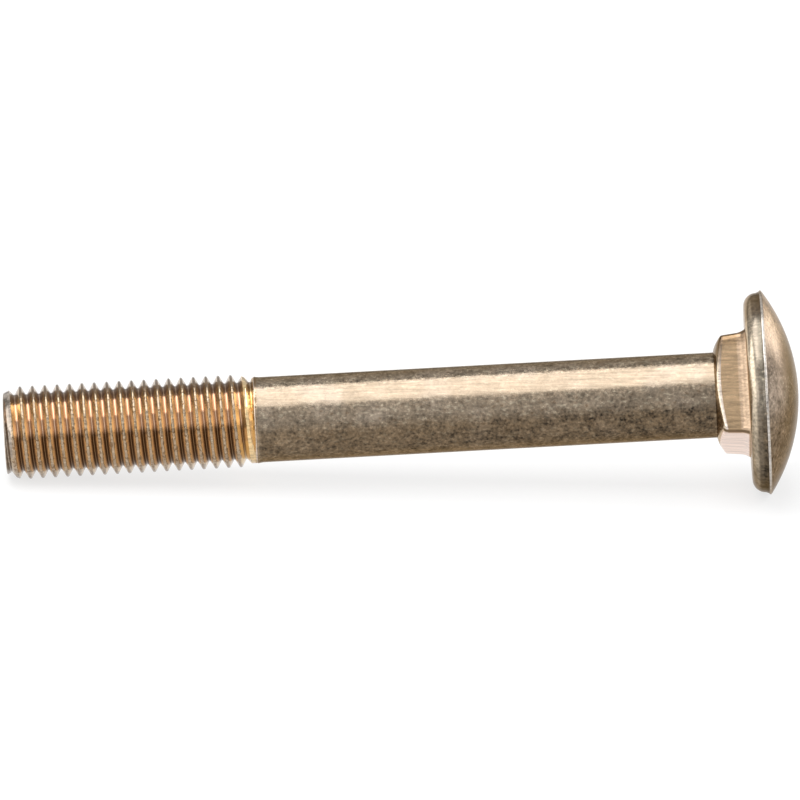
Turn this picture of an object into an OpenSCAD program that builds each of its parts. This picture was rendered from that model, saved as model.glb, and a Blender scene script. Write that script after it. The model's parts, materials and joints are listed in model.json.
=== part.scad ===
// Carriage bolt: domed head, square neck, plain shank and a coarse right-hand thread.
// It is one forged and rolled piece. It lies on its side at rest, on the lip of its head
// and on a crest of its thread, with the tip towards -X and the head towards +X.
// All lengths are millimetres. Along the bolt, distances are measured from the tip.

/* [Thread] */
// Diameter over the thread crests
thread_d = 19.05; // [16:0.05:24]
// Distance from one crest to the next
pitch = 2.54; // [1.5:0.01:3.2]
// Length of the threaded stretch, with its run-out
thread_len = 51.4; // [25:0.1:100]
// Length over which the last turns fade into the shank
runout_len = 2.9; // [1:0.1:6]
// Turn at which the first crest leaves the tip, as a share of the pitch
thread_start = 0.946; // [0.8:0.001:1]

/* [Tip] */
// Diameter of the flat end
tip_d = 16.6; // [12:0.1:18]
// Slope of the chamfer behind the flat end, from the axis
tip_angle = 22.5; // [15:0.5:45]

/* [Shank] */
// Length from the tip to the bearing face under the head
bolt_len = 152.4; // [110:0.1:260]
// Diameter of the plain shank
shank_d = 17.5; // [15:0.05:19]
// Height of the shoulder where the last groove meets the shank
shank_step = 0.45; // [0.1:0.05:1]
// How far the rolled-up edge stands proud of the shank beside the thread
burr_h = 0.15; // [0.05:0.05:0.5]
// Length over which that edge falls to the shank
burr_len = 1.2; // [0.5:0.1:3]

/* [Neck] */
// Length of the square neck, from the bearing face
neck_len = 6.75; // [5:0.05:14]
// Distance across the flats of the neck where the flare begins
neck_side = 21; // [18:0.05:26]
// Draft of the neck's flats
neck_draft = 5; // [1:0.5:8]
// Radius of the neck's corners
neck_corner = 1.3; // [0.5:0.1:3]
// Slope of the turned shoulder in front of the neck, from square across the axis
shoulder_angle = 21; // [10:1:45]
// Length of the flare that joins the neck to the head
flare_len = 1.6; // [0.8:0.1:3]
// How far the flare widens each flat
flare_w = 0.65; // [0.4:0.05:1.5]
// Turn of the square about the axis
neck_turn = -33.8; // [-45:0.1:45]

/* [Head] */
// Diameter over the lip of the head
head_d = 41.9; // [36:0.1:54]
// Distance from the bearing face to the lip
rim_h = 3.7; // [3:0.1:7]
// Radius of the rounded edge round the bearing face
rim_edge = 2.65; // [1:0.05:2.8]
// How far the lip stands out from the rim below it
lip_w = 0.5; // [0.1:0.05:1]
// Height of the dome above the lip
dome_h = 6.65; // [3:0.05:12]

/* [Quality] */
// Facets in one turn of the thread
thread_facets = 36; // [24:4:48]
// Steps in the rounded corners of the neck
corner_steps = 4; // [2:1:6]

/* [Hidden] */

// Overlap that keeps joined solids in one piece
bite = 0.5;
// Steps in the rounded edge of the rim
edge_steps = 6;
// Facets round the head in a mesh of it
head_facets = 78;
// Turns of the thread that may touch the ground
rest_turns = 3;

// Unified coarse thread form: 60 degree flanks, an eighth of the pitch flat at the crest
thread_r = thread_d / 2;
thread_depth = 0.61343 * pitch;
root_r = thread_r - thread_depth;
flank_w = thread_depth * tan(30);
crest_w = pitch / 8;
tip_r = tip_d / 2;
shank_r = shank_d / 2;
runout_r = shank_r - shank_step;
thread_stop = thread_len + bite;

head_r = head_d / 2;
rim_r = head_r - lip_w;
edge_r = min(rim_edge, 0.9 * rim_h);
seat_r = rim_r - edge_r;
dome_r = (head_r * head_r + dome_h * dome_h) / (2 * dome_h);
lip_at = bolt_len + rim_h;
dome_centre = lip_at + dome_h - dome_r;

// The bolt lies on its lip and on the one corner of its first crests that no other reaches below
crest_corners = [
    for (turn = [0 : rest_turns], side = [-1, 1])
        (thread_start + turn) * pitch + side * crest_w / 2
];
slopes = [for (at = crest_corners) (head_r - thread_radius(at, thread_r)) / (lip_at - at)];
rest_tilt = atan(min(slopes));
rest_height = head_r * cos(rest_tilt) - lip_at * sin(rest_tilt);

// Ends of the lying bolt along X, with its tip on the origin
tip_end = -tip_r * sin(rest_tilt);
head_end = dome_centre * cos(rest_tilt) + dome_r;

// One turn of the thread form: distance along the axis and radius at its four corners
thread_form = [
    [0, root_r],
    [flank_w, thread_r],
    [flank_w + crest_w, thread_r],
    [2 * flank_w + crest_w, root_r]
];
form_corners = len(thread_form);
// The helix starts whole turns in front of the tip and ends past the run-out
first_at = (thread_start - 3) * pitch - flank_w - crest_w / 2;
helix_steps = thread_facets * (ceil(thread_len / pitch) + 5);

function clamp(value, low, high) = min(max(value, low), high);

// Distance from the tip of one corner of the thread form, at one step of the helix
function thread_at(step, corner) = first_at + pitch * step / thread_facets + thread_form[corner][0];

// Radius of a thread corner, after the chamfer at the tip and the run-out at the shank
function thread_radius(at, form_r) =
    let (fade = clamp((thread_len - at) / runout_len, 0, 1))
    let (faded_r = runout_r + (form_r - runout_r) * fade)
    min(faded_r, tip_r + max(at, 0) * tan(tip_angle));

function ring_point(step, r, at) =
    [r * cos(360 * step / thread_facets), r * sin(360 * step / thread_facets), at];

function thread_point(step, corner) =
    let (at = thread_at(step, corner))
    ring_point(step, thread_radius(at, thread_form[corner][1]), at);

// Number of a corner in the point list: past either end it is a point of that end's ring
function thread_index(step, corner) =
    corner == form_corners ? thread_index(step + thread_facets, 0) :
    thread_at(step, corner) <= 0 ? step % thread_facets :
    thread_at(step, corner) >= thread_stop ? thread_facets + step % thread_facets :
    2 * thread_facets + step * form_corners + corner;

function differ(tri) = tri[0] != tri[1] && tri[1] != tri[2] && tri[2] != tri[0];

// Threaded rod with flat ends, as one closed skin that follows the helix
module thread() {
    steps = [0 : helix_steps - 1];
    facets = [0 : thread_facets - 1];
    last = helix_steps - thread_facets - 1;
    points = concat(
        [for (i = facets) ring_point(i, tip_r, 0)],
        [for (i = facets) ring_point(i, runout_r, thread_stop)],
        [for (i = steps, c = [0 : form_corners - 1]) thread_point(i, c)]
    );
    skin = [
        for (i = [0 : last], c = [0 : form_corners - 1])
            let (a = thread_index(i, c), b = thread_index(i, c + 1))
            let (d = thread_index(i + 1, c), e = thread_index(i + 1, c + 1))
            for (tri = [[a, b, e], [a, e, d]]) if (differ(tri)) tri
    ];
    tip_face = [for (i = facets) i];
    shank_face = [for (i = facets) 2 * thread_facets - 1 - i];
    polyhedron(points, concat([tip_face, shank_face], skin), convexity = 10);
}

// Plain round stretch from the thread into the head, with the edge that thread rolling raises
module shank() {
    shank_end = bolt_len + bite;
    rotate_extrude($fn = 96)
        polygon([
            [0, thread_len],
            [shank_r + burr_h, thread_len],
            [shank_r, thread_len + burr_len],
            [shank_r, shank_end],
            [0, shank_end]
        ]);
}

// Distance from the axis to a plane that touches a round-cornered square, at a turn from its flat
function reach(side, turn) =
    (side / 2 - neck_corner) * (abs(cos(turn)) + abs(sin(turn))) + neck_corner;

// Slab between two distances from the tip, with both its sides at a slope to the axis
module tapered_slab(from, to, reach_from, reach_to) {
    rotate([90, 0, 0])
        linear_extrude(height = 4 * reach_to, center = true)
            polygon([[-reach_from, from], [reach_from, from], [reach_to, to], [-reach_to, to]]);
}

// Square block with drafted flats and corners rounded in steps
module drafted_block(from, to, side_from, side_to) {
    intersection_for (turn = [0 : 90 / corner_steps : 179])
        rotate([0, 0, turn])
            tapered_slab(from, to, reach(side_from, turn), reach(side_to, turn));
}

// Square neck: drafted flats, corners turned down to the shank, and a flare under the head
module neck() {
    flare_at = bolt_len - flare_len;
    neck_at = bolt_len - neck_len;
    neck_end = bolt_len + bite;
    flare_start = flare_at - bite;
    block_start = neck_at - bite;
    widen = 2 * tan(neck_draft);
    flare_widen = 2 * flare_w / flare_len;
    turned_r = neck_side;
    turned_at = neck_at + (turned_r - shank_r) * tan(shoulder_angle);
    inner_r = shank_r - bite;
    inner_at = neck_at - bite * tan(shoulder_angle);
    rotate([0, 0, neck_turn]) {
        intersection() {
            drafted_block(block_start, neck_end,
                neck_side - widen * (flare_at - block_start), neck_side + widen * (neck_end - flare_at));
            rotate_extrude($fn = 96)
                polygon([
                    [0, inner_at],
                    [inner_r, inner_at],
                    [turned_r, turned_at],
                    [turned_r, neck_end + bite],
                    [0, neck_end + bite]
                ]);
        }
        drafted_block(flare_start, neck_end,
            neck_side - flare_widen * bite, neck_side + flare_widen * (neck_end - flare_at));
    }
}

// Head: flat bearing face, rounded rim, sharp lip and a dome that is part of a sphere
module head() {
    edge = [
        for (i = [0 : edge_steps])
            let (turn = 90 * i / edge_steps)
            [seat_r + edge_r * sin(turn), bolt_len + edge_r * (1 - cos(turn))]
    ];
    past_lip = [rim_r + 2 * lip_w, lip_at + rim_h - edge_r];
    top = lip_at + dome_h + bite;
    // Turned by half a facet, so that a mesh of the head lies on a flat and not on a point
    rotate([0, 0, 180 / head_facets])
        rotate_extrude($fn = head_facets)
            intersection() {
                translate([0, dome_centre])
                    circle(r = dome_r, $fn = 256);
                polygon(concat([[0, bolt_len]], edge, [past_lip, [past_lip[0], top], [0, top]]));
            }
}

module bolt() {
    color("goldenrod")
        translate([-(tip_end + head_end) / 2, 0, rest_height])
            rotate([0, 90 - rest_tilt, 0]) {
                thread();
                shank();
                neck();
                head();
            }
}

bolt();
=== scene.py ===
"""Carriage bolt in yellow zinc plated steel, lying on a pale studio floor."""
import json
import logging
import math
from dataclasses import dataclass, field, replace
from enum import Enum
from typing import Callable, Sequence

import bmesh
import bpy
from bmesh.types import BMesh, BMEdge, BMVert
from mathutils import Matrix, Vector


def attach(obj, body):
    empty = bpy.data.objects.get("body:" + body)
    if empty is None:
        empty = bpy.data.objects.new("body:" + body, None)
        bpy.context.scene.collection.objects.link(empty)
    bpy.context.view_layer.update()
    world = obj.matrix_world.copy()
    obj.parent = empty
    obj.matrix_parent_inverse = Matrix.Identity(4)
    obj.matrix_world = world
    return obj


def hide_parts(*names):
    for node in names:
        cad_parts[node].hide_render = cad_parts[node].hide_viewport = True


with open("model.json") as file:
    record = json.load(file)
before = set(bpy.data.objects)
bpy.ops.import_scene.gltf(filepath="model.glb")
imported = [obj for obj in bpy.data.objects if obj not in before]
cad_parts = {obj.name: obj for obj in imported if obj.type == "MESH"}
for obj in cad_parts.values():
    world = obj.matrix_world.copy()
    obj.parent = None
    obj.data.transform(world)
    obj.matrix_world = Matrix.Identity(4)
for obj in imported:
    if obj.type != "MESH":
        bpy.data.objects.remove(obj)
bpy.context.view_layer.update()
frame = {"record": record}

LOG = logging.getLogger("carriage_bolt")
MM = 0.001
RING_STEPS = 96
QUARTER = RING_STEPS // 4
MERGE_MM = 0.001
TONE_MATCH = 0.001
TURN_DIGITS = 4
# Inside this radius the end faces count as level.
CORE_MM = 8.0
# How far the bolt's axis leans from level as it lies.
LYING_TILT = math.radians(4.32)
UNIT = (0.0, 1.0)

Span = tuple[float, float]
Point = tuple[float, float, float]
Colour = tuple[float, float, float]
Ring = list[BMVert]
Placing = Callable[[int], Vector]
Socket = bpy.types.NodeSocket


class Tone(Enum):
    """Colours that the plating takes on the parts of the bolt, in linear light."""

    GOLD = (0.75, 0.54, 0.285)
    TAN = (0.39, 0.272, 0.163)
    FLARE = (0.50, 0.362, 0.245)
    # Painted highlight on the wall behind the run-out and on the neck shoulder's rounded edge.
    WHITE = (0.68, 0.58, 0.5)
    # Bare metal of the neck's lower flat, painted paler as a reflection of the bright floor.
    PALE = (0.89, 0.66, 0.54)
    LIP = (0.5, 0.46, 0.42)
    EDGE = (0.68, 0.575, 0.435)
    # Painted shade on the top of the neck's shoulder and along the corner of its lower flat.
    DARK = (0.16, 0.105, 0.06)
    OLIVE = (0.238, 0.187, 0.135)
    GREY = (0.46, 0.385, 0.32)
    RIM = (0.135, 0.117, 0.09)
    TURNED = (0.225, 0.19, 0.148)
    ROOT = (0.52, 0.358, 0.25)
    PEACH = (0.40, 0.317, 0.25)
    DOME = (0.168, 0.126, 0.077)


class Coat(Enum):
    """Vertex values that tell the plating where it is."""

    TONE = "tone"
    GROOVE = "groove"
    WORN = "worn"
    # Share of painted shade along the top, which also marks the rim for its painted shade.
    PAINTED_SHADE = "painted_shade"
    GRAIN = "grain"
    UNDER = "under"


@dataclass(frozen=True)
class Patch:
    """State of the plating on one stretch of the bolt."""

    tone: Tone = Tone.GOLD
    groove: float = 0.0
    worn: float = 0.0
    painted_shade: float = 0.0
    grain: float = 0.0
    next_tone: Tone = Tone.GOLD
    share: float = 0.0

    def colour(self) -> Vector:
        """Mix the patch's tone with its share of the next one."""
        return Vector(self.tone.value).lerp(Vector(self.next_tone.value), self.share)


class Skin:
    """Closed skin of the bolt, which grows ring by ring along the axis, in millimetres."""

    def __init__(self) -> None:
        """Start an empty skin with its plating values."""
        self.bm: BMesh = bmesh.new()
        layers = self.bm.verts.layers
        self.tone = layers.float_color.new(Coat.TONE.value)
        self.groove = layers.float.new(Coat.GROOVE.value)
        self.worn = layers.float.new(Coat.WORN.value)
        self.painted_shade = layers.float.new(Coat.PAINTED_SHADE.value)
        self.grain = layers.float.new(Coat.GRAIN.value)
        self.under = layers.float.new(Coat.UNDER.value)

    def paint(self, verts: Sequence[BMVert], patch: Patch) -> None:
        """Write the plating's state on some vertices.

        Args:
            verts: Vertices to write on.
            patch: State of the plating there.
        """
        for vert in verts:
            vert[self.tone] = (*patch.colour(), 1.0)
            vert[self.groove] = patch.groove
            vert[self.worn] = patch.worn
            vert[self.painted_shade] = patch.painted_shade
            vert[self.grain] = patch.grain

    def has_tone(self, vert: BMVert, tone: Tone) -> bool:
        """Tell whether a vertex is painted in one tone."""
        return (Vector(vert[self.tone][:3]) - Vector(tone.value)).length < TONE_MATCH

    def mark_under(self) -> None:
        """Write how far each vertex looks down, from -1 at the top to 1 underneath."""
        for vert in self.bm.verts:
            vert[self.under] = vert.co.x / max(vert.co.xy.length, CORE_MM)

    def open_ring(self, at: float) -> Ring:
        """Find the open ring of vertices that lies at one distance from the tip.

        Args:
            at: Distance from the tip.

        Returns:
            The ring's vertices, ordered by their turn about the axis.
        """
        rim = [e for e in self.bm.edges if e.is_boundary]
        verts = {v for e in rim for v in e.verts if abs(v.co.z - at) < MERGE_MM}
        return sorted(
            verts, key=lambda v: round(math.atan2(v.co.y, v.co.x), TURN_DIGITS) % math.tau
        )

    def grow(self, ring: Ring, place: Placing, patch: Patch) -> Ring:
        """Extrude an open ring and set each new vertex in its place.

        Args:
            ring: Ordered vertices of the open ring.
            place: Gives the place of the vertex with a number.
            patch: State of the plating on the new ring.

        Returns:
            The new ring's vertices in the same order.
        """
        pairs = zip(ring, ring[1:] + ring[:1])
        edges: list[BMEdge] = [self.bm.edges.get(pair) for pair in pairs]
        made = bmesh.ops.extrude_edge_only(self.bm, edges=edges)["geom"]
        fresh = {v for v in made if isinstance(v, BMVert)}
        grown = [
            next(e.other_vert(v) for e in v.link_edges if e.other_vert(v) in fresh) for v in ring
        ]
        for number, vert in enumerate(grown):
            vert.co = place(number)
        self.paint(grown, patch)
        return grown

    def round_to(self, ring: Ring, radius: float, at: float, patch: Patch) -> Ring:
        """Grow an open ring to a circle.

        Args:
            ring: Ordered vertices of the open ring.
            radius: Radius of the circle.
            at: Distance of the circle from the tip.
            patch: State of the plating on the circle.

        Returns:
            The new ring's vertices.
        """
        return self.grow(ring, lambda number: on_circle(number, radius, at), patch)

    def close(self, ring: Ring, at: float, patch: Patch) -> None:
        """Close an open ring in a point on the axis.

        Args:
            ring: Ordered vertices of the open ring.
            at: Distance of the point from the tip.
            patch: State of the plating there.
        """
        last = self.round_to(ring, MERGE_MM, at, patch)
        bmesh.ops.pointmerge(self.bm, verts=last, merge_co=Vector((0, 0, at)))


def on_circle(number: int, radius: float, at: float) -> Vector:
    """Give the place of a numbered ring vertex on a circle about the axis.

    Args:
        number: Number of the vertex in its ring.
        radius: Radius of the circle.
        at: Distance of the circle from the tip.

    Returns:
        The place, in millimetres along the bolt's own axes.
    """
    turn = math.tau * number / RING_STEPS
    return Vector((radius * math.cos(turn), radius * math.sin(turn), at))


def add_object(name: str, data: bpy.types.ID) -> bpy.types.Object:
    """Put a new object into the scene.

    Args:
        name: Name of the object.
        data: Its mesh, light or camera.

    Returns:
        The object, at the origin.
    """
    made = bpy.data.objects.new(name, data)
    bpy.context.scene.collection.objects.link(made)
    return made


def add_mesh(name: str, bm: BMesh) -> bpy.types.Object:
    """Put a finished mesh into the scene and free its working copy.

    Args:
        name: Name of the mesh and its object.
        bm: Finished mesh.

    Returns:
        The mesh's object.
    """
    mesh = bpy.data.meshes.new(name)
    bm.to_mesh(mesh)
    bm.free()
    return add_object(name, mesh)


def clamp(value: float, low: float = 0.0, high: float = 1.0) -> float:
    """Hold a value between two limits."""
    return min(max(value, low), high)


@dataclass(frozen=True)
class RolledThread:
    """Coarse right-hand thread with a chamfered start and a run-out, in millimetres."""

    crest_r: float = 9.525
    pitch: float = 2.54
    length: float = 51.0
    fade_from: float = 48.3
    fade_to: float = 49.7
    faded_r: float = 8.85
    start: float = 0.946
    depth: float = 1.5
    half_angle: float = math.radians(30)
    crest_w: float = 0.4
    crest_round: float = 0.17
    crest_steps: int = 4
    root_round: float = 0.42
    root_steps: int = 6
    tip_r: float = 8.3
    tip_angle: float = math.radians(22.5)
    tip_round: float = 0.2
    tip_len: float = 1.6
    # Inset of each ring of the tip's rounded edge, and its share of the rounding.
    tip_form: tuple[Span, ...] = ((0.05, 0.3), (0.25, 0.0))
    end_rings: tuple[float, ...] = (0.9, 0.6, 0.3)
    dish: float = 0.02
    spare_turns: int = 3
    root_share: float = 0.88
    faded_wear: float = 0.5

    def crest_at(self, at: float) -> float:
        """Give the radius of a crest after chamfer and run-out.

        Args:
            at: Distance from the tip.

        Returns:
            The largest radius that the thread has there.
        """
        fade = clamp((self.fade_to - at) / (self.fade_to - self.fade_from))
        faded = self.faded_r + (self.crest_r - self.faded_r) * fade
        return min(faded, self.tip_r + max(at, 0.0) * math.tan(self.tip_angle))

    def past_crest(self, at: float, turn: float) -> float:
        """Give the distance from the nearest crest, at a distance from the tip and a turn."""
        pitches = at / self.pitch - turn / math.tau - self.start
        return (pitches - round(pitches)) * self.pitch

    def end_radius(self, turn: float) -> float:
        """Give the thread's radius where it stops, at a turn about the axis.

        Args:
            turn: Turn about the axis, in radians.

        Returns:
            The radius of the thread form there.
        """
        aside = abs(self.past_crest(self.length, turn)) - self.crest_w / 2
        cut = aside / math.tan(self.half_angle)
        return min(self.crest_r - clamp(cut, 0.0, self.depth), self.crest_at(self.length))

    def profile(self, bm: BMesh) -> Ring:
        """Draw one pitch of the thread form, from the middle of one crest to the next.

        Args:
            bm: Mesh that takes the wire.

        Returns:
            The wire's vertices.
        """
        first = (self.start - self.spare_turns) * self.pitch
        sharp_r = self.crest_r - (self.pitch - self.crest_w) / 2 / math.tan(self.half_angle)
        form = [
            (0.0, self.crest_r),
            (self.crest_w / 2, self.crest_r),
            (self.pitch / 2, sharp_r),
            (self.pitch - self.crest_w / 2, self.crest_r),
            (self.pitch, self.crest_r),
        ]
        wire = [bm.verts.new((radius, 0.0, first + along)) for along, radius in form]
        for one, other in zip(wire, wire[1:]):
            bm.edges.new((one, other))
        roundings = (
            ([wire[1], wire[3]], self.crest_round, self.crest_steps),
            ([wire[2]], self.root_round, self.root_steps),
        )
        for corners, offset, steps in roundings:
            bmesh.ops.bevel(
                bm, geom=corners, offset=offset, offset_type="OFFSET", segments=steps,
                profile=0.5, affect="VERTICES", material=-1,
            )
        return list(bm.verts)

    def build(self, skin: Skin) -> Ring:
        """Roll the thread as one helical skin and close it at the tip.

        Args:
            skin: Skin that takes the thread.

        Returns:
            The open ring where the thread meets the shank.
        """
        bm = skin.bm
        wire = self.profile(bm)
        bmesh.ops.spin(
            bm, geom=wire + list(bm.edges), cent=(0, 0, 0), axis=(0, 0, 1),
            dvec=(0, 0, self.pitch / RING_STEPS), angle=math.tau,
            steps=RING_STEPS, use_merge=False, use_duplicate=False,
        )
        turn = list(bm.verts) + list(bm.edges) + list(bm.faces)
        for count in range(1, math.ceil(self.length / self.pitch) + 2 * self.spare_turns):
            copy = bmesh.ops.duplicate(bm, geom=turn)["geom"]
            verts = [part for part in copy if isinstance(part, BMVert)]
            bmesh.ops.translate(bm, verts=verts, vec=(0, 0, self.pitch * count))
        bmesh.ops.remove_doubles(bm, verts=bm.verts, dist=MERGE_MM)
        for vert in bm.verts:
            self.trim(vert, skin)
        bmesh.ops.remove_doubles(bm, verts=bm.verts, dist=MERGE_MM)
        bmesh.ops.dissolve_degenerate(bm, edges=bm.edges, dist=MERGE_MM / 10)
        self.face_tip(skin)
        return skin.open_ring(self.length)

    def trim(self, vert: BMVert, skin: Skin) -> None:
        """Cut one vertex of the endless thread to the chamfer, the run-out and both ends.

        Args:
            vert: Vertex to cut.
            skin: Skin that it belongs to.
        """
        at = vert.co.z
        radius = vert.co.xy.length
        turn = math.atan2(vert.co.y, vert.co.x)
        cut = min(radius, self.crest_at(at))
        if at <= self.tip_round:
            cut = self.crest_at(self.tip_round)
        elif at >= self.length:
            cut = self.end_radius(turn)
        groove = clamp((self.crest_at(at) - cut) / self.depth)
        vert.co.xy *= cut / radius
        vert.co.z = clamp(at, self.tip_round, self.length)
        if at < self.tip_len:
            patch = Patch(Tone.GREY, worn=0.3, grain=0.6)
        elif groove > self.root_share:
            patch = Patch(Tone.ROOT, groove=groove, painted_shade=groove)
        else:
            kept = 1.0 if at < self.fade_from else self.faded_wear
            patch = Patch(Tone.GOLD, groove=groove, worn=(1.0 - groove) * kept, painted_shade=groove)
        skin.paint([vert], patch)

    def face_tip(self, skin: Skin) -> None:
        """Round the edge of the flat end and close it.

        Args:
            skin: Skin that carries the thread.
        """
        end = Patch(Tone.GREY, worn=0.4, grain=0.8)
        edge = Patch(Tone.GREY, worn=0.5, grain=0.4)
        ring = skin.open_ring(self.tip_round)
        for inset, share in self.tip_form:
            ring = skin.round_to(ring, self.tip_r - inset, self.tip_round * share, edge)
        for share in self.end_rings:
            ring = skin.round_to(ring, self.tip_r * share, self.dish * (1 - share), end)
        skin.close(ring, self.dish, end)


@dataclass(frozen=True)
class PlainShank:
    """Plain round stretch with the raised edge that thread rolling leaves, in millimetres."""

    radius: float = 8.75
    start: float = 51.4
    stop: float = 145.65
    burr_h: float = 0.15
    burr_len: float = 1.2
    # How far each ring of the raised edge lies below its top and past the shank's start.
    burr_wall: tuple[Span, ...] = ((0.08, -0.02), (0.02, 0.05))
    burr_edge: tuple[Span, ...] = ((0.0, 0.16), (0.06, 0.45))
    steps: int = 24
    plain: Patch = Patch(Tone.OLIVE, grain=1.0)

    def build(self, skin: Skin, ring: Ring) -> Ring:
        """Raise the shoulder behind the thread and draw the shank to the neck.

        Args:
            skin: Skin that takes the shank.
            ring: Open ring at the end of the thread.

        Returns:
            The open ring where the shank meets the neck.
        """
        # The wall behind the run-out is painted pale, a painted highlight.
        wall = Patch(Tone.WHITE)
        edge = Patch(Tone.OLIVE, worn=0.8, grain=0.5)
        top = self.radius + self.burr_h
        for form, patch in ((self.burr_wall, wall), (self.burr_edge, edge)):
            for drop, onward in form:
                ring = skin.round_to(ring, top - drop, self.start + onward, patch)
        first = self.start + self.burr_len
        ring = skin.round_to(ring, self.radius, first, self.plain)
        for step in range(1, self.steps + 1):
            at = first + (self.stop - first) * step / self.steps
            ring = skin.round_to(ring, self.radius, at, self.plain)
        return ring


@dataclass(frozen=True)
class SquareNeck:
    """Drafted square neck with a turned shoulder and a flare, in millimetres."""

    shank_r: float = 8.75
    start: float = 145.65
    seat: float = 152.4
    side: float = 21.0
    draft: float = math.radians(5)
    corner: float = 1.3
    shoulder: float = math.radians(14)
    flare_len: float = 2.0
    flare_w: float = 0.65
    flare_curve: float = 1.7
    turn: float = math.radians(-33.8)
    edge: float = 0.85
    fullness: float = 0.62
    past_edge: float = 0.1
    before_flare: float = 0.05
    dark_from: float = 0.7
    dark_over: float = 0.2
    dark_share: float = 0.85
    corner_steps: int = 8
    dark_corner_steps: int = 3
    shoulder_steps: int = 7
    white_steps: int = 2
    flare_steps: int = 6
    settling_rounds: int = 4

    @property
    def shift(self) -> int:
        """Count the ring steps by which the square is turned."""
        return round(self.turn / math.tau * RING_STEPS)

    @property
    def flat_steps(self) -> int:
        """Count the ring steps on half a flat."""
        return (QUARTER - self.corner_steps) // 2

    def on_square(self, number: int, half: float) -> Vector:
        """Give the place of a numbered ring vertex on the square's round-cornered outline.

        Args:
            number: Number of the vertex in its ring.
            half: Distance from the axis to a flat.

        Returns:
            The place across the axis, with the distance along it left at zero.
        """
        count, step = divmod((number - self.shift) % RING_STEPS, QUARTER)
        flat = half - self.corner
        if step <= self.flat_steps:
            point = Vector((half, flat * step / self.flat_steps, 0.0))
        elif step < self.flat_steps + self.corner_steps:
            bend = math.pi / 2 * (step - self.flat_steps) / self.corner_steps
            out = flat + self.corner * math.cos(bend)
            aside = flat + self.corner * math.sin(bend)
            point = Vector((out, aside, 0.0))
        else:
            point = Vector((flat * (QUARTER - step) / self.flat_steps, half, 0.0))
        return Matrix.Rotation(self.turn + count * math.pi / 2, 3, "Z") @ point

    def half_at(self, at: float) -> float:
        """Give the distance from the axis to a drafted flat, at a distance from the tip."""
        flare_at = self.seat - self.flare_len
        return self.side / 2 - (flare_at - at) * math.tan(self.draft)

    def on_shoulder(self, turn: float, onward: float = 0.0) -> Placing:
        """Give a function that places ring vertices on the rounded shoulder.

        Args:
            turn: How far the shoulder has turned, from square across the axis to along it.
            onward: How far the vertices lie past the shoulder, along the flats.

        Returns:
            The function from a vertex's number to its place.
        """

        def place(number: int) -> Vector:
            """Give the place of one vertex.

            Args:
                number: Number of the vertex in its ring.

            Returns:
                Its place on the shoulder.
            """
            at = self.start
            for _ in range(self.settling_rounds):
                reach = self.on_square(number, self.half_at(at)).length
                cone = (reach - self.shank_r) * math.tan(self.shoulder)
                at = self.start + cone + self.edge
            point = self.on_square(number, self.half_at(at + onward))
            spread = math.sin(turn) ** self.fullness
            out = self.shank_r + (point.length - self.shank_r) * spread
            point *= out / point.length
            risen = 1 - max(math.cos(turn), 0.0) ** self.fullness
            point.z = self.start + cone * spread + self.edge * risen + onward
            return point

        return place

    def at_height(self, half: float, at: float) -> Placing:
        """Give a function that places ring vertices on the square outline at one height."""
        return lambda number: self.on_square(number, half) + Vector((0.0, 0.0, at))

    def build(self, skin: Skin, ring: Ring) -> Ring:
        """Grow the shank's end into the square neck and its flare.

        Args:
            skin: Skin that takes the neck.
            ring: Open ring at the end of the shank.

        Returns:
            The open ring on the bearing face.
        """
        flat = Patch(Tone.TAN, painted_shade=0.3, grain=0.12)
        flare = Patch(Tone.FLARE, painted_shade=0.3)
        # The shoulder's last steps: a worn edge with a painted highlight.
        rounded = Patch(Tone.WHITE, worn=0.4, painted_shade=0.3)
        hollow = Patch(Tone.EDGE, painted_shade=0.3)
        flare_at = self.seat - self.flare_len
        for step in range(1, self.shoulder_steps + 1):
            turn = math.pi / 2 * step / self.shoulder_steps
            patch = rounded if step > self.shoulder_steps - self.white_steps else hollow
            ring = skin.grow(ring, self.on_shoulder(turn), patch)
            self.shade_top(skin, ring, patch)
            if step > self.shoulder_steps // 2:
                self.pale_flat_dark_corner(skin, ring)
        ring = skin.grow(ring, self.on_shoulder(math.pi / 2, self.past_edge), flat)
        self.pale_flat_dark_corner(skin, ring)
        before = flare_at - self.before_flare
        ring = skin.grow(ring, self.at_height(self.half_at(before), before), flat)
        self.pale_flat_dark_corner(skin, ring)
        for step in range(1, self.flare_steps + 1):
            share = step / self.flare_steps
            widened = self.side / 2 + self.flare_w * share ** self.flare_curve
            place = self.at_height(widened, flare_at + self.flare_len * share)
            ring = skin.grow(ring, place, flare)
            if step < self.flare_steps:
                self.pale_flat_dark_corner(skin, ring)
        return ring

    def shade_top(self, skin: Skin, ring: Ring, patch: Patch) -> None:
        """Darken the top of the shoulder with painted shade.

        Args:
            skin: Skin that takes the neck.
            ring: Ring of vertices on the shoulder.
            patch: State of the plating on the rest of the ring.
        """
        for vert in ring:
            up = -vert.co.x / vert.co.xy.length
            share = clamp((up - self.dark_from) / self.dark_over) * self.dark_share
            skin.paint([vert], replace(patch, next_tone=Tone.DARK, share=share))

    def pale_flat_dark_corner(self, skin: Skin, ring: Ring) -> None:
        """Paint the flat that looks down to the front pale, as bare metal with a painted reflection
        of the bright floor, and darken its corner with painted shade.

        Args:
            skin: Skin that takes the neck.
            ring: Ring of vertices on the neck.
        """
        flat = range(self.shift - self.flat_steps, self.shift + self.flat_steps + 1)
        skin.paint([ring[number % RING_STEPS] for number in flat], Patch(Tone.PALE))
        # Painted shade along the corner of the flat.
        first = self.shift - QUARTER // 2
        corner = range(first, first + self.dark_corner_steps)
        skin.paint([ring[number % RING_STEPS] for number in corner], Patch(Tone.DARK))


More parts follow.
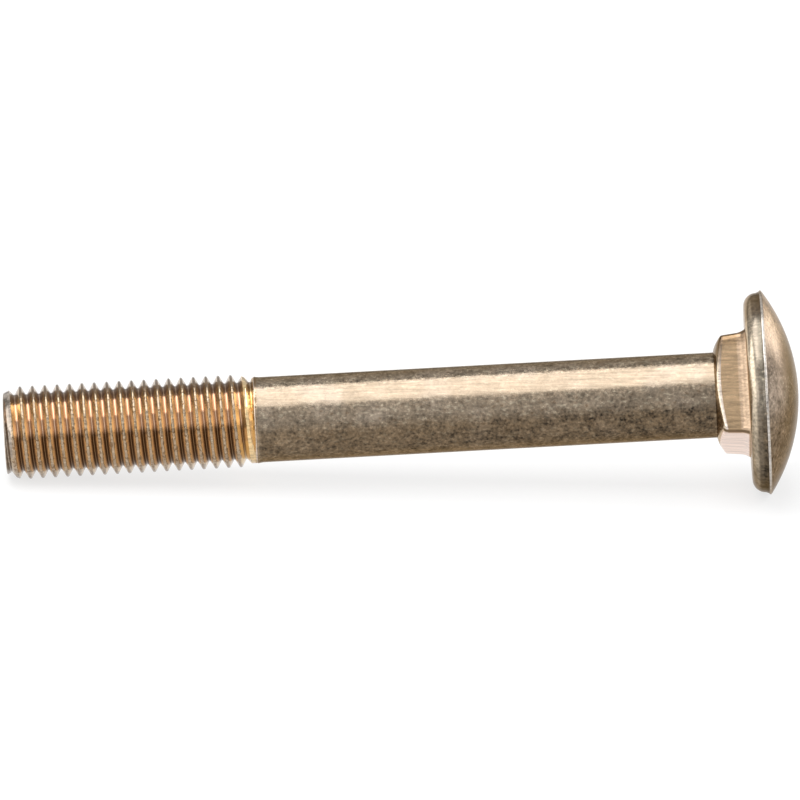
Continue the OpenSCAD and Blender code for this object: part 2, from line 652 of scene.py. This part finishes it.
@dataclass(frozen=True)
class DomedHead:
    """Head with a flat bearing face, a rounded rim, a sharp lip and a dome, in millimetres."""

    seat: float = 152.4
    radius: float = 20.95
    rim_h: float = 3.7
    rim_edge: float = 2.65
    lip_w: float = 0.5
    lip_round: float = 0.14
    dome_h: float = 6.65
    # How far each ring of the lip lies inside its edge and before its end; the first is the rim's.
    lip_form: tuple[Span, ...] = ((0.24, 0.42), (0.06, 0.34), (0.0, 0.2), (0.02, 0.06))
    edge_steps: int = 8
    round_steps: int = 3
    dome_steps: int = 16
    first_ring: float = 0.99
    fade_from: int = 4
    fade_rings: int = 4

    @property
    def ball_r(self) -> float:
        """Give the radius of the sphere that the dome is part of."""
        return (self.radius ** 2 + self.dome_h ** 2) / (2 * self.dome_h)

    def dome_at(self, turn: float) -> Span:
        """Give the dome's radius and its distance from the tip, at a turn from the axis."""
        centre = self.seat + self.rim_h + self.dome_h - self.ball_r
        return self.ball_r * math.sin(turn), centre + self.ball_r * math.cos(turn)

    def build(self, skin: Skin, ring: Ring) -> None:
        """Spread the bearing face, turn the rim up to the lip and close the dome.

        Args:
            skin: Skin that takes the head.
            ring: Open ring on the bearing face.
        """
        turned = Patch(Tone.EDGE, painted_shade=0.25, grain=0.5)
        rounded = Patch(Tone.TURNED, painted_shade=0.25, grain=0.6)
        rim = Patch(Tone.RIM, worn=0.2, painted_shade=0.25, grain=0.8)
        lip = Patch(Tone.LIP, worn=0.5)
        dome = Patch(Tone.DOME, grain=0.9)
        rim_r = self.radius - self.lip_w
        seat_r = rim_r - self.rim_edge
        ring = skin.round_to(ring, seat_r, self.seat, Patch(Tone.TAN))
        for step in range(1, self.edge_steps + 1):
            turn = math.pi / 2 * step / self.edge_steps
            at = self.seat + self.rim_edge * (1 - math.cos(turn))
            patch = rounded if step > self.edge_steps - self.round_steps else turned
            patch = patch if step < self.edge_steps else rim
            ring = skin.round_to(ring, seat_r + self.rim_edge * math.sin(turn), at, patch)
        lip_at = self.seat + self.rim_h
        for number, (inset, back) in enumerate(self.lip_form):
            ring = skin.round_to(ring, self.radius - inset, lip_at - back, lip if number else rim)
        widest = math.asin((self.radius - self.lip_round) / self.ball_r)
        ring = skin.round_to(ring, *self.dome_at(widest), lip)
        for step in range(self.dome_steps):
            turn = widest * (self.first_ring - step / self.dome_steps)
            share = clamp((step - self.fade_from) / self.fade_rings)
            patch = Patch(Tone.PEACH, grain=0.9, next_tone=Tone.DOME, share=share)
            ring = skin.round_to(ring, *self.dome_at(turn), patch)
        skin.close(ring, self.dome_at(0.0)[1], dome)


class NodeBoard:
    """Small helper that adds and joins shader nodes."""

    def __init__(self, tree: bpy.types.NodeTree) -> None:
        """Keep the tree that takes the nodes, and empty it."""
        self.tree = tree
        tree.nodes.clear()

    def add(self, kind: str) -> bpy.types.Node:
        """Add a node of one kind."""
        return self.tree.nodes.new(kind)

    def link(self, source: Socket, target: Socket) -> None:
        """Join an output to an input."""
        self.tree.links.new(source, target)

    def noise(self, where: Socket, scale: float, detail: float, rough: float) -> Socket:
        """Add a noise pattern.

        Args:
            where: Coordinates of the pattern.
            scale: Size of the pattern.
            detail: Number of finer layers.
            rough: Weight of the finer layers.

        Returns:
            The pattern's value, from 0 to 1.
        """
        node = self.add("ShaderNodeTexNoise")
        node.inputs["Scale"].default_value = scale
        node.inputs["Detail"].default_value = detail
        node.inputs["Roughness"].default_value = rough
        self.link(where, node.inputs["Vector"])
        return node.outputs["Fac"]

    def along_bolt(self, where: Socket, length: float, across: float) -> Socket:
        """Stretch coordinates along the lying bolt's axis.

        Args:
            where: Coordinates to stretch.
            length: Scale along the axis.
            across: Scale across the axis.

        Returns:
            The stretched coordinates.
        """
        node = self.add("ShaderNodeMapping")
        node.inputs["Rotation"].default_value = (0.0, LYING_TILT, 0.0)
        node.inputs["Scale"].default_value = (length, across, across)
        self.link(where, node.inputs["Vector"])
        return node.outputs["Vector"]

    def along_x(self, where: Socket) -> Socket:
        """Read the distance along X from coordinates.

        Args:
            where: Coordinates to read.

        Returns:
            The distance.
        """
        node = self.add("ShaderNodeSeparateXYZ")
        self.link(where, node.inputs["Vector"])
        return node.outputs["X"]

    def attribute(self, coat: Coat, output: str = "Fac") -> Socket:
        """Read one of the skin's vertex values.

        Args:
            coat: Value to read.
            output: Output that gives it, as a number or as a colour.

        Returns:
            The value.
        """
        node = self.add("ShaderNodeAttribute")
        node.attribute_name = coat.value
        return node.outputs[output]

    def spread(self, value: Socket, span: Span, result: Span) -> Socket:
        """Spread the values between two limits evenly over two other limits.

        Args:
            value: Value to spread.
            span: Values that become the limits of the result.
            result: Limits of the result.

        Returns:
            The spread value.
        """
        node = self.add("ShaderNodeMapRange")
        names = ("From Min", "From Max", "To Min", "To Max")
        for name, limit in zip(names, (*span, *result)):
            node.inputs[name].default_value = limit
        self.link(value, node.inputs["Value"])
        return node.outputs["Result"]

    def scale_colour(self, colour: Socket, factor: Socket) -> Socket:
        """Make a colour lighter or darker by a factor.

        Args:
            colour: Colour to scale.
            factor: Factor for all three channels.

        Returns:
            The scaled colour.
        """
        node = self.add("ShaderNodeVectorMath")
        node.operation = "SCALE"
        self.link(colour, node.inputs[0])
        self.link(factor, node.inputs["Scale"])
        return node.outputs[0]

    def ramp(self, value: Socket, span: Span) -> Socket:
        """Spread the values between two limits smoothly over 0 to 1.

        Args:
            value: Value to spread.
            span: Value that becomes 0 and value that becomes 1.

        Returns:
            The spread value.
        """
        node = self.add("ShaderNodeMapRange")
        node.interpolation_type = "SMOOTHSTEP"
        for name, limit in zip(("From Min", "From Max"), span):
            node.inputs[name].default_value = limit
        self.link(value, node.inputs["Value"])
        return node.outputs["Result"]

    def math(self, operation: str, one: Socket, other: Socket | float) -> Socket:
        """Join two values by one operation.

        Args:
            operation: Name of the node's operation.
            one: First value.
            other: Second value, or a fixed number.

        Returns:
            The result.
        """
        node = self.add("ShaderNodeMath")
        node.operation = operation
        self.link(one, node.inputs[0])
        if isinstance(other, float):
            node.inputs[1].default_value = other
        else:
            self.link(other, node.inputs[1])
        return node.outputs[0]

    def times(self, one: Socket, other: Socket | float) -> Socket:
        """Multiply two values."""
        return self.math("MULTIPLY", one, other)

    def plus(self, one: Socket, other: Socket | float) -> Socket:
        """Add two values."""
        return self.math("ADD", one, other)

    def mix_colour(self, share: Socket, one: Socket | Colour, other: Socket | Colour) -> Socket:
        """Mix two colours.

        Args:
            share: Share of the second colour.
            one: First colour.
            other: Second colour.

        Returns:
            The mixed colour.
        """
        node = self.add("ShaderNodeMix")
        node.data_type = "RGBA"
        self.link(share, node.inputs["Factor"])
        for socket, colour in ((node.inputs[6], one), (node.inputs[7], other)):
            if isinstance(colour, tuple):
                socket.default_value = (*colour, 1.0)
            else:
                self.link(colour, socket)
        return node.outputs[2]


@dataclass(frozen=True)
class PlatingPattern:
    """Where the plating's patterns lie and how strong they are.

    A span gives the value at which a pattern is absent and the one at which it is full. The
    spans that end in _at lie round the bolt, from -1 at the top to 1 underneath, or in a noise.
    """

    # Scales of the noises, and along and across the bolt where they are drawn out.
    cloud: float = 110.0
    mottle: float = 430.0
    speck: float = 1500.0
    pit: float = 1300.0
    fleck: Span = (800.0, 1700.0)
    streak: Span = (45.0, 2000.0)
    # Where the skin's values mean a rim, a smooth face, a lower side, a worn crest or a pit.
    rim_painted_shade: Span = (0.0, 0.2)
    rim_grain: Span = (0.3, 0.5)
    smooth_groove: Span = (0.3, 0.0)
    below_at: Span = (-0.4, -0.1)
    crest_groove: Span = (0.24, 0.06)
    crest_worn: Span = (0.6, 0.8)
    pit_at: Span = (0.53, 0.63)
    pit_share: float = 0.85
    # Haze, chips and flecks of the film.
    haze_at: Span = (0.45, 0.7)
    haze_share: float = 0.3
    chip_mottle: float = 0.45
    chip_speck: float = 0.5
    chip_below: float = 0.14
    chip_at: Span = (0.8, 1.0)
    bare_crest: float = 0.85
    light_fleck_at: Span = (0.54, 0.68)
    light_fleck: float = 0.6
    dark_fleck_at: Span = (0.4, 0.28)
    dark_fleck: float = 0.5
    # Upper slopes under the overhead highlight, where the pattern is calmed.
    calm_below_at: Span = (-0.66, -0.5)
    calm_above_at: Span = (-0.88, -0.94)
    calm_left: Span = (0.3, 1.0)
    # Painted shade in the roots of the lower side, along the top and on the outermost crests.
    root_groove: Span = (0.7, 0.95)
    top_painted_shade: Span = (0.05, 0.4)
    top_at: Span = (-0.925, -0.965)
    top_share: float = 0.75
    # Painted shade: crests along the top and the underside turn dark.
    ridge_top_at: Span = (-0.93, -0.97)
    ridge_foot_at: Span = (0.7, 0.95)
    ridge_share: float = 0.6
    # Lighter and darker stretches: random patches, streaks, a change from tip to head, and painted
    # shade and light on the lower side.
    # Painted shade: the lower side of grainy faces turns browner.
    warm_at: Span = (-0.3, 0.1)
    warm_share: float = 0.55
    patch_mottle: float = 0.7
    patch_speck: float = 1.0
    streak_left: Span = (1.1, 0.2)
    streak_shade: float = 0.6
    # Painted shade: the lower half of grainy faces is darker, less so on worn crests.
    dim_at: Span = (-0.32, 0.0)
    dim_grain: float = -0.37
    dim_crest: float = 0.2
    # Painted bounce light: the underside of the shank is lighter.
    shank_grain: Span = (0.9, 1.0)
    foot_at: Span = (0.5, 0.85)
    foot_light: float = 0.24
    # Painted shade: the lower part of the rim is darker.
    low_rim_at: Span = (0.1, 0.9)
    low_rim_shade: float = -0.38
    # Lighter towards the tip and darker towards the head, below the highlight band.
    tip_to_head_along: Span = (-0.04, 0.07)
    tip_to_head_shade: Span = (0.11, -0.09)
    tip_to_head_at: Span = (-0.6, -0.35)
    # Roughness and relief.
    gloss_speck: Span = (0.3, 0.7)
    gloss_grain: float = 0.03
    relief_fleck: float = 0.7
    relief_streak: float = 0.25
    relief_pit: float = -1.2


@dataclass(frozen=True)
class YellowZinc:
    """Yellow zinc plating: olive film on plain faces, gold in grooves and grey where it is worn."""

    name: str
    edge_tint: Colour
    film: float
    gloss: Span
    haze: Colour = (0.33, 0.28, 0.235)
    steel: Colour = (0.32, 0.242, 0.168)
    # Dark colour of stains, flecks and pits, also used for painted shade.
    stain_and_shade: Colour = (0.125, 0.074, 0.037)
    # Painted shade: the browner colour of the lower side.
    shade_brown: Colour = (0.20, 0.125, 0.058)
    fleck: Colour = (0.42, 0.36, 0.27)
    film_rough: float = 0.12
    relief: float = 2.2e-5
    pattern: PlatingPattern = PlatingPattern()

    def material(self) -> bpy.types.Material:
        """Make the plating's node material.

        Returns:
            The material, which reads object coordinates and the skin's vertex values.
        """
        mat = bpy.data.materials.new(self.name)
        mat.use_nodes = True
        board = NodeBoard(mat.node_tree)
        surface = PlatedSurface(board, self)
        bump = board.add("ShaderNodeBump")
        bump.inputs["Strength"].default_value = 1.0
        bump.inputs["Distance"].default_value = self.relief
        board.link(surface.relief(), bump.inputs["Height"])
        shader = board.add("ShaderNodeBsdfPrincipled")
        shader.inputs["Metallic"].default_value = 1.0
        shader.inputs["Specular Tint"].default_value = (*self.edge_tint, 1.0)
        shader.inputs["Coat Weight"].default_value = self.film
        shader.inputs["Coat Roughness"].default_value = self.film_rough
        board.link(surface.colour(), shader.inputs["Base Color"])
        board.link(surface.roughness(), shader.inputs["Roughness"])
        board.link(bump.outputs["Normal"], shader.inputs["Normal"])
        out = board.add("ShaderNodeOutputMaterial")
        board.link(shader.outputs["BSDF"], out.inputs["Surface"])
        return mat


class PlatedSurface:
    """Node patterns of the plating: its stains, flecks, worn crests and fine relief, and painted
    shade and light by how far it looks down.
    """

    def __init__(self, board: NodeBoard, finish: YellowZinc) -> None:
        """Lay out the patterns and read the skin's vertex values.

        Args:
            board: Tree that takes the nodes.
            finish: Plating whose colours and patterns are used.
        """
        self.board, self.finish, self.pattern = board, finish, finish.pattern
        pattern = finish.pattern
        where = board.add("ShaderNodeTexCoord").outputs["Object"]
        flecked = board.along_bolt(where, *pattern.fleck)
        drawn = board.along_bolt(where, *pattern.streak)
        self.along = board.along_x(where)
        self.cloud = board.noise(where, scale=pattern.cloud, detail=2.0, rough=0.5)
        self.mottle = board.noise(where, scale=pattern.mottle, detail=3.0, rough=0.55)
        self.speck = board.noise(where, scale=pattern.speck, detail=3.0, rough=0.6)
        self.fleck = board.noise(flecked, scale=1.0, detail=2.0, rough=0.5)
        self.streak = board.noise(drawn, scale=1.0, detail=3.0, rough=0.55)
        self.groove, self.worn = board.attribute(Coat.GROOVE), board.attribute(Coat.WORN)
        self.grain, self.under = board.attribute(Coat.GRAIN), board.attribute(Coat.UNDER)
        self.painted_shade = board.attribute(Coat.PAINTED_SHADE)
        self.smooth = board.ramp(self.groove, pattern.smooth_groove)
        self.below = self.round_bolt(pattern.below_at)
        # Rim faces, whose lower part takes painted shade.
        shade_marked = board.ramp(self.painted_shade, pattern.rim_painted_shade)
        self.rim = board.times(shade_marked, board.ramp(self.grain, pattern.rim_grain))
        high = board.ramp(self.groove, pattern.crest_groove)
        self.crest = board.times(high, board.ramp(self.worn, pattern.crest_worn))
        pit = board.noise(where, scale=pattern.pit, detail=2.0, rough=0.6)
        pitted = board.times(self.crest, pattern.pit_share)
        self.pits = board.times(board.ramp(pit, pattern.pit_at), pitted)

    def round_bolt(self, span: Span) -> Socket:
        """Fade a pattern in over a stretch round the bolt."""
        return self.board.ramp(self.under, span)

    def uneven(self, noise: Socket, most: float) -> Socket:
        """Spread a noise evenly about zero, up to a largest value on both sides."""
        return self.board.spread(noise, UNIT, (-most, most))

    def film(self) -> Socket:
        """Colour the film, with its haze, its chips and its flecks.

        Returns:
            The film's colour.
        """
        board, finish, pattern = self.board, self.finish, self.pattern
        body = board.attribute(Coat.TONE, "Color")
        hazy = board.times(board.ramp(self.cloud, pattern.haze_at), self.grain)
        body = board.mix_colour(board.times(hazy, pattern.haze_share), body, finish.haze)
        chipped = self.blotches(pattern.chip_mottle, pattern.chip_speck)
        chipped = board.plus(chipped, self.worn)
        chipped = board.plus(chipped, board.times(self.below, pattern.chip_below))
        rubbed_and_low_shade = board.times(self.crest, pattern.bare_crest)
        bare = board.math("MAXIMUM", board.ramp(chipped, pattern.chip_at), rubbed_and_low_shade)
        body = board.mix_colour(bare, body, finish.steel)
        dotted = board.math("MAXIMUM", self.grain, board.times(self.smooth, self.worn))
        dotted = board.times(dotted, self.calm())
        light = board.times(board.ramp(self.fleck, pattern.light_fleck_at), dotted)
        dark = board.times(board.ramp(self.fleck, pattern.dark_fleck_at), dotted)
        body = board.mix_colour(board.times(light, pattern.light_fleck), body, finish.fleck)
        return board.mix_colour(board.times(dark, pattern.dark_fleck), body, finish.stain_and_shade)

    def blotches(self, mottle: float, speck: float) -> Socket:
        """Join the mottle and the specks, each up to a largest value."""
        return self.board.plus(self.uneven(self.mottle, mottle), self.uneven(self.speck, speck))

    def calm(self) -> Socket:
        """Calm the pattern on the upper slopes, under the overhead highlight, so that the highlight
        shows smooth.

        Returns:
            The share of the pattern that is left.
        """
        below = self.round_bolt(self.pattern.calm_below_at)
        rough = self.board.plus(below, self.round_bolt(self.pattern.calm_above_at))
        return self.board.spread(rough, UNIT, self.pattern.calm_left)

    def groove_and_top_shade(self) -> Socket:
        """Find how much painted shade darkens the roots of the lower side and the top.

        Returns:
            The share of painted shade.
        """
        board, pattern = self.board, self.pattern
        lower = board.times(board.ramp(self.groove, pattern.root_groove), self.below)
        upper = board.ramp(self.painted_shade, pattern.top_painted_shade)
        upper = board.times(upper, self.round_bolt(pattern.top_at))
        return board.math("MAXIMUM", lower, board.times(upper, pattern.top_share))

    def colour(self) -> Socket:
        """Colour the plating.

        Returns:
            The base colour.
        """
        board, finish, pattern = self.board, self.finish, self.pattern
        # Painted shade on the crests along the top and the underside, joined with the real pits.
        ends = self.round_bolt(pattern.ridge_top_at)
        ends = board.plus(ends, self.round_bolt(pattern.ridge_foot_at))
        ridge_shade = board.times(ends, board.times(self.crest, pattern.ridge_share))
        pits_and_ridge_shade = board.math("MAXIMUM", self.pits, ridge_shade)
        body = board.mix_colour(pits_and_ridge_shade, self.film(), finish.stain_and_shade)
        # Painted shade in the roots of the lower side and along the top.
        body = board.mix_colour(self.groove_and_top_shade(), body, finish.stain_and_shade)
        # Painted shade: the lower side of grainy faces turns browner.
        browned_low_side = board.times(self.grain, pattern.warm_share)
        browned_low_side = board.times(self.round_bolt(pattern.warm_at), browned_low_side)
        body = board.mix_colour(browned_low_side, body, finish.shade_brown)
        return board.scale_colour(body, self.shade())

    def shade(self) -> Socket:
        """Find how much lighter or darker the plating is from place to place, with painted shade on
        the lower side and the lower rim and painted bounce light under the shank.

        Returns:
            The factor on its colour.
        """
        board, pattern = self.board, self.pattern
        grainy = board.times(self.grain, self.calm())
        patchy = board.times(self.blotches(pattern.patch_mottle, pattern.patch_speck), grainy)
        rolled = board.times(self.smooth, board.spread(grainy, UNIT, pattern.streak_left))
        lines = board.times(self.uneven(self.streak, pattern.streak_shade), rolled)
        # Painted shade: the lower half is darker, less so on crests.
        rubbed_and_low_shade = board.times(self.grain, pattern.dim_grain)
        rubbed_and_low_shade = board.plus(rubbed_and_low_shade, board.times(self.crest, pattern.dim_crest))
        dimmed = board.times(self.round_bolt(pattern.dim_at), rubbed_and_low_shade)
        # Painted bounce light: the underside of the shank is lighter.
        shank = board.ramp(self.grain, pattern.shank_grain)
        lit_foot = board.times(self.round_bolt(pattern.foot_at), board.times(shank, pattern.foot_light))
        # Painted shade: the lower part of the rim is darker.
        low_rim = board.times(self.rim, pattern.low_rim_shade)
        low_rim = board.times(self.round_bolt(pattern.low_rim_at), low_rim)
        # Lighter towards the tip and darker towards the head, below the highlight band.
        tip_to_head = board.spread(self.along, pattern.tip_to_head_along, pattern.tip_to_head_shade)
        tip_to_head = board.times(board.times(tip_to_head, self.grain), self.round_bolt(pattern.tip_to_head_at))
        total = patchy
        for change in (lines, dimmed, lit_foot, low_rim, tip_to_head):
            total = board.plus(total, change)
        return board.plus(total, 1.0)

    def roughness(self) -> Socket:
        """Vary the roughness, more on grainy faces."""
        shine = self.board.spread(self.speck, self.pattern.gloss_speck, self.finish.gloss)
        return self.board.plus(shine, self.board.times(self.grain, self.pattern.gloss_grain))

    def relief(self) -> Socket:
        """Raise the grain and the rolling lines, and sink the pits.

        Returns:
            The height of the relief.
        """
        board, pattern = self.board, self.pattern
        grainy = board.plus(self.speck, board.times(self.fleck, pattern.relief_fleck))
        height = board.times(board.times(grainy, self.grain), self.calm())
        lines = board.times(board.times(self.streak, self.smooth), pattern.relief_streak)
        height = board.plus(height, lines)
        return board.plus(height, board.times(self.pits, pattern.relief_pit))


@dataclass
class CarriageBolt:
    """Whole bolt: thread, shank, neck and head in one closed skin."""

    thread: RolledThread = field(default_factory=RolledThread)
    shank: PlainShank = field(default_factory=PlainShank)
    neck: SquareNeck = field(default_factory=SquareNeck)
    head: DomedHead = field(default_factory=DomedHead)
    plain: YellowZinc = YellowZinc(
        "plain_zinc", edge_tint=(0.62, 0.52, 0.41), film=0.12, gloss=(0.17, 0.25)
    )
    bright: YellowZinc = YellowZinc(
        "bright_zinc", edge_tint=(1.0, 1.0, 1.0), film=0.25, gloss=(0.13, 0.2),
        stain_and_shade=(0.155, 0.085, 0.036),
    )
    sharp: float = math.radians(38)
    name: str = "carriage_bolt"

    def lay(self) -> Matrix:
        """Find how the bolt lies, from the frame's mounts.

        Returns:
            The matrix from millimetres along the bolt's own axes to metres in the frame.
        """
        mounts = {mount["name"]: mount for mount in frame["record"]["mounts"]}
        axis = -Vector(mounts["square_neck"]["axis"]).normalized()
        on_axis = Vector(mounts["square_neck"]["pos_m"])
        seat = Vector(mounts["under_head"]["pos_m"])
        tip = on_axis + axis * ((seat - on_axis).dot(axis) - self.head.seat * MM)
        back = Vector((0.0, 1.0, 0.0))
        down = back.cross(axis)
        turned = Matrix((down, back, axis)).transposed().to_4x4()
        return Matrix.Translation(tip) @ turned @ Matrix.Scale(MM, 4)

    def build(self) -> bpy.types.Object:
        """Build the bolt's skin and set it where the frame's bolt lies.

        Returns:
            The bolt's object.
        """
        skin = Skin()
        ring = self.thread.build(skin)
        ring = self.shank.build(skin, ring)
        ring = self.neck.build(skin, ring)
        self.head.build(skin, ring)
        skin.mark_under()
        bm = skin.bm
        bmesh.ops.recalc_face_normals(bm, faces=bm.faces)
        for face in bm.faces:
            # The pale flat, bare metal with a painted reflection of the floor, takes the bright
            # finish with the thread.
            bare = all(skin.has_tone(vert, Tone.PALE) for vert in face.verts)
            face.material_index = int(bare or face.calc_center_median().z < self.thread.length)
        bmesh.ops.transform(bm, matrix=self.lay(), verts=bm.verts)
        for edge in bm.edges:
            edge.smooth = edge.calc_face_angle(0.0) < self.sharp
        for face in bm.faces:
            face.smooth = True
        open_edges = sum(not edge.is_manifold for edge in bm.edges)
        piece = add_mesh(self.name, bm)
        LOG.info("%s: %d faces, %d open edges", self.name, len(piece.data.polygons), open_edges)
        return piece

    def dress(self, piece: bpy.types.Object) -> None:
        """Give the bolt its plating and tie it to the frame.

        Args:
            piece: The bolt's object.
        """
        for finish in (self.plain, self.bright):
            piece.data.materials.append(finish.material())
        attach(piece, "root")
        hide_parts("bolt")


@dataclass(frozen=True)
class PaleFloor:
    """Plain pale floor, which keeps a soft shadow."""

    radius: float = 6.0
    sides: int = 96
    colour: Colour = (0.22, 0.22, 0.22)
    glow: float = 0.72

    def build(self) -> None:
        """Lay the floor under the bolt."""
        bm = bmesh.new()
        bmesh.ops.create_circle(
            bm, cap_ends=True, cap_tris=False, segments=self.sides, radius=self.radius
        )
        floor = add_mesh("pale_floor", bm)
        floor.data.materials.append(self.material())
        LOG.info("pale_floor: laid")

    def material(self) -> bpy.types.Material:
        """Make the floor's material.

        Returns:
            The material: matt, with a white share for rays that show the background.
        """
        mat = bpy.data.materials.new("pale_floor")
        mat.use_nodes = True
        board = NodeBoard(mat.node_tree)
        matt = board.add("ShaderNodeBsdfDiffuse")
        matt.inputs["Color"].default_value = (*self.colour, 1.0)
        glow = board.add("ShaderNodeEmission")
        board.link(board.times(shows_background(board), self.glow), glow.inputs["Strength"])
        both = board.add("ShaderNodeAddShader")
        board.link(matt.outputs["BSDF"], both.inputs[0])
        board.link(glow.outputs["Emission"], both.inputs[1])
        out = board.add("ShaderNodeOutputMaterial")
        board.link(both.outputs["Shader"], out.inputs["Surface"])
        return mat


def shows_background(board: NodeBoard) -> Socket:
    """Tell the rays that show the background from those that only light the bolt.

    Args:
        board: Tree that takes the nodes.

    Returns:
        One for a camera, glossy or transmission ray, and else zero.
    """
    path = board.add("ShaderNodeLightPath")
    seen = board.math("MAXIMUM", path.outputs["Is Camera Ray"], path.outputs["Is Glossy Ray"])
    return board.math("MAXIMUM", seen, path.outputs["Is Transmission Ray"])


@dataclass(frozen=True)
class Softbox:
    """One soft studio light: a glowing rectangle that faces a point."""

    name: str
    place: Point
    aim: Point
    width: float
    depth: float
    radiance: float
    mirrored: bool = True

    def build(self) -> None:
        """Hang the light."""
        light = bpy.data.lights.new(self.name, "AREA")
        light.shape = "RECTANGLE"
        light.size, light.size_y = self.width, self.depth
        light.energy = self.radiance * math.pi * self.width * self.depth
        lamp = add_object(self.name, light)
        facing = Vector(self.aim) - Vector(self.place)
        turned = facing.to_track_quat("-Z", "Y").to_matrix().to_4x4()
        lamp.matrix_world = Matrix.Translation(self.place) @ turned
        lamp.visible_camera = False
        lamp.visible_glossy = self.mirrored
        LOG.info("%s: hung", self.name)


@dataclass(frozen=True)
class Studio:
    """Soft light round the bolt and the camera that looks at it."""

    lights: tuple[Softbox, ...] = (
        Softbox("overhead_softbox", (-0.16, -0.05, 0.62), (-0.16, -0.05, 0.0), 0.6, 0.69, 3.9),
        Softbox("left_panel", (-0.66, -0.42, 0.27), (0.0, -0.42, 0.27), 1.4, 0.46, 1.6),
        Softbox("left_upper_panel", (-0.66, -0.42, 0.68), (0.0, -0.42, 0.68), 1.4, 0.36, 0.7),
        Softbox("right_panel", (0.62, -0.05, 0.365), (0.0, -0.05, 0.365), 1.3, 0.52, 1.5),
        Softbox("right_upper_panel", (0.62, -0.05, 0.82), (0.0, -0.05, 0.82), 1.3, 0.39, 1.0),
        Softbox("back_panel", (0.5, 0.5, 0.06), (0.05, 0.0, 0.02), 0.25, 0.1, 3.0),
        Softbox("back_fill", (0.0, 0.9, 0.6), (0.0, 0.0, 0.02), 1.6, 0.9, 0.5),
        Softbox("floor_light", (0.0, 1.3, 0.7), (0.0, 1.0, 0.0), 1.8, 0.9, 2.2, mirrored=False),
        Softbox("front_fill", (-0.2, -1.0, 0.6), (0.0, 0.0, 0.02), 1.5, 1.3, 0.7),
    )
    room: float = 0.4
    azimuth: float = math.radians(1.098)
    elevation: float = math.radians(20.0)
    roll: float = math.radians(1.322)
    height: float = 0.015
    aside: float = -0.000127
    lift: float = 0.002711
    distance: float = 3.414
    lens_mm: float = 750.0
    sensor_mm: float = 36.0
    clip: Span = (0.05, 30.0)

    def light_room(self) -> None:
        """Light the room evenly."""
        world = bpy.data.worlds.new("studio_room")
        world.use_nodes = True
        bpy.context.scene.world = world
        board = NodeBoard(world.node_tree)
        glow = board.add("ShaderNodeBackground")
        glow.inputs["Strength"].default_value = self.room
        out = board.add("ShaderNodeOutputWorld")
        board.link(glow.outputs["Background"], out.inputs["Surface"])

    def build(self) -> None:
        """Light the room, hang the lights and set up the camera."""
        self.light_room()
        for light in self.lights:
            light.build()
        self.set_camera()
        bpy.context.scene.view_settings.view_transform = "Standard"

    def set_camera(self) -> None:
        """Set up the scene's camera."""
        level, drop = math.cos(self.elevation), math.sin(self.elevation)
        forward = Vector((math.sin(self.azimuth) * level, math.cos(self.azimuth) * level, -drop))
        right = Vector((math.cos(self.azimuth), -math.sin(self.azimuth), 0.0))
        up = right.cross(forward)
        aim = Vector((0.0, 0.0, self.height)) + right * self.aside + up * self.lift
        turned = Matrix.Rotation(self.roll, 3, -forward)
        axes = Matrix((turned @ right, turned @ up, -forward)).transposed().to_4x4()
        lens = bpy.data.cameras.new("studio_camera")
        lens.lens = self.lens_mm
        lens.sensor_width = self.sensor_mm
        lens.clip_start, lens.clip_end = self.clip
        lens.dof.use_dof = False
        camera = add_object("studio_camera", lens)
        camera.matrix_world = Matrix.Translation(aim - forward * self.distance) @ axes
        bpy.context.scene.camera = camera
        LOG.info("studio_camera: set")


def main() -> None:
    """Build the studio, the floor and the bolt."""
    logging.basicConfig(level=logging.INFO, format="%(name)s: %(message)s")
    Studio().build()
    PaleFloor().build()
    bolt = CarriageBolt()
    bolt.dress(bolt.build())


if __name__ == "__main__":
    main()
